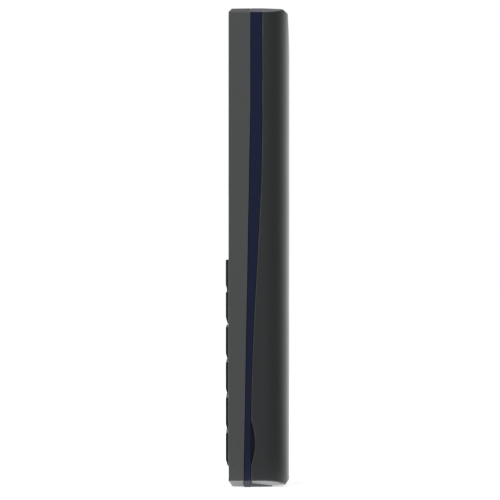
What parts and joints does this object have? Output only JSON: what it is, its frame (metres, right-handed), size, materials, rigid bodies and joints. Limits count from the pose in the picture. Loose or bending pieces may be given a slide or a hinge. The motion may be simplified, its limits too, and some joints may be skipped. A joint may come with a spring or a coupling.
{
  "type": "candybar phone",
  "caption": "Slim upright phone with a dark front cover, a navy side band and a clip-on back, proud number keys on the front and sockets in both ends.",
  "frame": {"origin": "middle of the lower end face, midway between the front and back faces of the body", "axes": "+Z along the phone towards the earpiece end, -Y out of the display and keys, +X to the right of a user facing the keys"},
  "size_m": [0.0494, 0.015, 0.112],
  "materials": {
    "front_plastic": "fine moulded matt",
    "band_plastic": "satin",
    "rear_plastic": "fine moulded satin",
    "key_plastic": "satin",
    "ring_plastic": "satin metallic paint",
    "lens_clear": "gloss",
    "silicone": "matt",
    "film": "satin",
    "foam": "matt open cell",
    "mesh_metal": "woven",
    "board_laminate": "satin",
    "display_glass": "gloss",
    "white_plastic": "satin",
    "flex_film": "satin",
    "tin_plate": "satin",
    "chip_resin": "matt",
    "black_resin": "satin",
    "led_resin": "gloss",
    "card_plastic": "satin",
    "gold_plate": "satin",
    "dense_metal": "satin",
    "battery_wrap": "satin film"
  },
  "bodies": {
    "phone": {"antenna": "black_resin", "battery_connector": "black_resin", "battery_springs": "gold_plate", "circuit_board": "board_laminate", "display_flex": "flex_film", "display_frame": "white_plastic", "display_gasket": "foam", "display_panel": "display_glass", "display_window": "lens_clear", "dome_sheet": "film", "earpiece_mesh": "mesh_metal", "earpiece_speaker": "tin_plate", "frame_screws": "dense_metal", "front_cover": "front_plastic", "headphone_jack": "black_resin", "key_mat": "silicone", "loudspeaker": "black_resin", "loudspeaker_gasket": "foam", "memory_chip": "chip_resin", "microphone": "tin_plate", "mid_frame": "band_plastic", "processor_chip": "chip_resin", "processor_shield": "tin_plate", "radio_chip": "chip_resin", "radio_shield": "tin_plate", "sim_holder_1": "tin_plate", "sim_holder_2": "tin_plate", "torch_led": "led_resin", "torch_lens": "lens_clear", "usb_shell": "tin_plate", "usb_tongue": "black_resin", "vibration_motor": "tin_plate"},
    "call_key": {"call_key": "key_plastic"},
    "end_key": {"end_key": "key_plastic"},
    "key_0": {"key_0": "key_plastic"},
    "key_1": {"key_1": "key_plastic"},
    "key_2": {"key_2": "key_plastic"},
    "key_3": {"key_3": "key_plastic"},
    "key_4": {"key_4": "key_plastic"},
    "key_5": {"key_5": "key_plastic"},
    "key_6": {"key_6": "key_plastic"},
    "key_7": {"key_7": "key_plastic"},
    "key_8": {"key_8": "key_plastic"},
    "key_9": {"key_9": "key_plastic"},
    "key_hash": {"key_hash": "key_plastic"},
    "key_star": {"key_star": "key_plastic"},
    "soft_key_left": {"soft_key_left": "key_plastic"},
    "soft_key_right": {"soft_key_right": "key_plastic"},
    "select_key": {"select_key": "key_plastic"},
    "nav_rocker": {"nav_pivot_pad": "silicone"},
    "nav_ring": {"nav_ring": "ring_plastic"},
    "rear_cover": {"rear_cover": "rear_plastic", "speaker_mesh": "mesh_metal"},
    "battery": {"battery": "battery_wrap"},
    "sim_card_1": {"sim_card_1": "card_plastic"},
    "sim_card_2": {"sim_card_2": "card_plastic"},
    "vibration_weight": {"vibration_weight": "dense_metal"}
  },
  "joints": [
    {"name": "call_key_press", "type": "slide", "parent": "phone", "child": "call_key", "axis": [0, 1, 0], "range_m": [0, 0.00035], "stiffness_N_per_m": 4500, "deforming": ["key_mat", "dome_sheet"]},
    {"name": "end_key_press", "type": "slide", "parent": "phone", "child": "end_key", "axis": [0, 1, 0], "range_m": [0, 0.00035], "stiffness_N_per_m": 4500, "deforming": ["key_mat", "dome_sheet"]},
    {"name": "key_0_press", "type": "slide", "parent": "phone", "child": "key_0", "axis": [0, 1, 0], "range_m": [0, 0.00035], "stiffness_N_per_m": 4500, "deforming": ["key_mat", "dome_sheet"]},
    {"name": "key_1_press", "type": "slide", "parent": "phone", "child": "key_1", "axis": [0, 1, 0], "range_m": [0, 0.00035], "stiffness_N_per_m": 4500, "deforming": ["key_mat", "dome_sheet"]},
    {"name": "key_2_press", "type": "slide", "parent": "phone", "child": "key_2", "axis": [0, 1, 0], "range_m": [0, 0.00035], "stiffness_N_per_m": 4500, "deforming": ["key_mat", "dome_sheet"]},
    {"name": "key_3_press", "type": "slide", "parent": "phone", "child": "key_3", "axis": [0, 1, 0], "range_m": [0, 0.00035], "stiffness_N_per_m": 4500, "deforming": ["key_mat", "dome_sheet"]},
    {"name": "key_4_press", "type": "slide", "parent": "phone", "child": "key_4", "axis": [0, 1, 0], "range_m": [0, 0.00035], "stiffness_N_per_m": 4500, "deforming": ["key_mat", "dome_sheet"]},
    {"name": "key_5_press", "type": "slide", "parent": "phone", "child": "key_5", "axis": [0, 1, 0], "range_m": [0, 0.00035], "stiffness_N_per_m": 4500, "deforming": ["key_mat", "dome_sheet"]},
    {"name": "key_6_press", "type": "slide", "parent": "phone", "child": "key_6", "axis": [0, 1, 0], "range_m": [0, 0.00035], "stiffness_N_per_m": 4500, "deforming": ["key_mat", "dome_sheet"]},
    {"name": "key_7_press", "type": "slide", "parent": "phone", "child": "key_7", "axis": [0, 1, 0], "range_m": [0, 0.00035], "stiffness_N_per_m": 4500, "deforming": ["key_mat", "dome_sheet"]},
    {"name": "key_8_press", "type": "slide", "parent": "phone", "child": "key_8", "axis": [0, 1, 0], "range_m": [0, 0.00035], "stiffness_N_per_m": 4500, "deforming": ["key_mat", "dome_sheet"]},
    {"name": "key_9_press", "type": "slide", "parent": "phone", "child": "key_9", "axis": [0, 1, 0], "range_m": [0, 0.00035], "stiffness_N_per_m": 4500, "deforming": ["key_mat", "dome_sheet"]},
    {"name": "key_hash_press", "type": "slide", "parent": "phone", "child": "key_hash", "axis": [0, 1, 0], "range_m": [0, 0.00035], "stiffness_N_per_m": 4500, "deforming": ["key_mat", "dome_sheet"]},
    {"name": "key_star_press", "type": "slide", "parent": "phone", "child": "key_star", "axis": [0, 1, 0], "range_m": [0, 0.00035], "stiffness_N_per_m": 4500, "deforming": ["key_mat", "dome_sheet"]},
    {"name": "soft_key_left_press", "type": "slide", "parent": "phone", "child": "soft_key_left", "axis": [0, 1, 0], "range_m": [0, 0.00035], "stiffness_N_per_m": 4500, "deforming": ["key_mat", "dome_sheet"]},
    {"name": "soft_key_right_press", "type": "slide", "parent": "phone", "child": "soft_key_right", "axis": [0, 1, 0], "range_m": [0, 0.00035], "stiffness_N_per_m": 4500, "deforming": ["key_mat", "dome_sheet"]},
    {"name": "select_key_press", "type": "slide", "parent": "phone", "child": "select_key", "axis": [0, 1, 0], "range_m": [0, 0.00035], "stiffness_N_per_m": 4500, "deforming": ["key_mat", "dome_sheet"]},
    {"name": "nav_rock_up_down", "type": "hinge", "parent": "phone", "child": "nav_rocker", "pos_m": [0, -0.0056, 0.0456], "axis": [1, 0, 0], "range_deg": [-2.5, 2.5], "stiffness_Nm_per_rad": 0.35, "deforming": ["key_mat", "dome_sheet", "nav_pivot_pad"]},
    {"name": "nav_rock_left_right", "type": "hinge", "parent": "nav_rocker", "child": "nav_ring", "pos_m": [0, -0.0056, 0.0456], "axis": [0, 0, 1], "range_deg": [-2.5, 2.5], "stiffness_Nm_per_rad": 0.35, "deforming": ["key_mat", "dome_sheet", "nav_pivot_pad"]},
    {"name": "rear_cover_off", "type": "slide", "parent": "phone", "child": "rear_cover", "axis": [0, 1, 0], "range_m": [0, 0.04]},
    {"name": "battery_out", "type": "slide", "parent": "phone", "child": "battery", "axis": [0, 1, 0], "range_m": [0, 0.02]},
    {"name": "sim_card_1_out", "type": "slide", "parent": "phone", "child": "sim_card_1", "axis": [0, 0, 1], "range_m": [0, 0.01]},
    {"name": "sim_card_2_out", "type": "slide", "parent": "phone", "child": "sim_card_2", "axis": [0, 0, 1], "range_m": [0, 0.01]},
    {"name": "vibration_weight_spin", "type": "hinge", "parent": "phone", "child": "vibration_weight", "pos_m": [0, 0.0021, 0.0952], "axis": [1, 0, 0], "continuous": true}
  ],
  "couplings": [
    {"joint": "battery_out", "follows": "rear_cover_off", "ratio": 0.5},
    {"joint": "sim_card_1_out", "follows": "rear_cover_off", "ratio": 0.25},
    {"joint": "sim_card_2_out", "follows": "rear_cover_off", "ratio": 0.25}
  ]
}
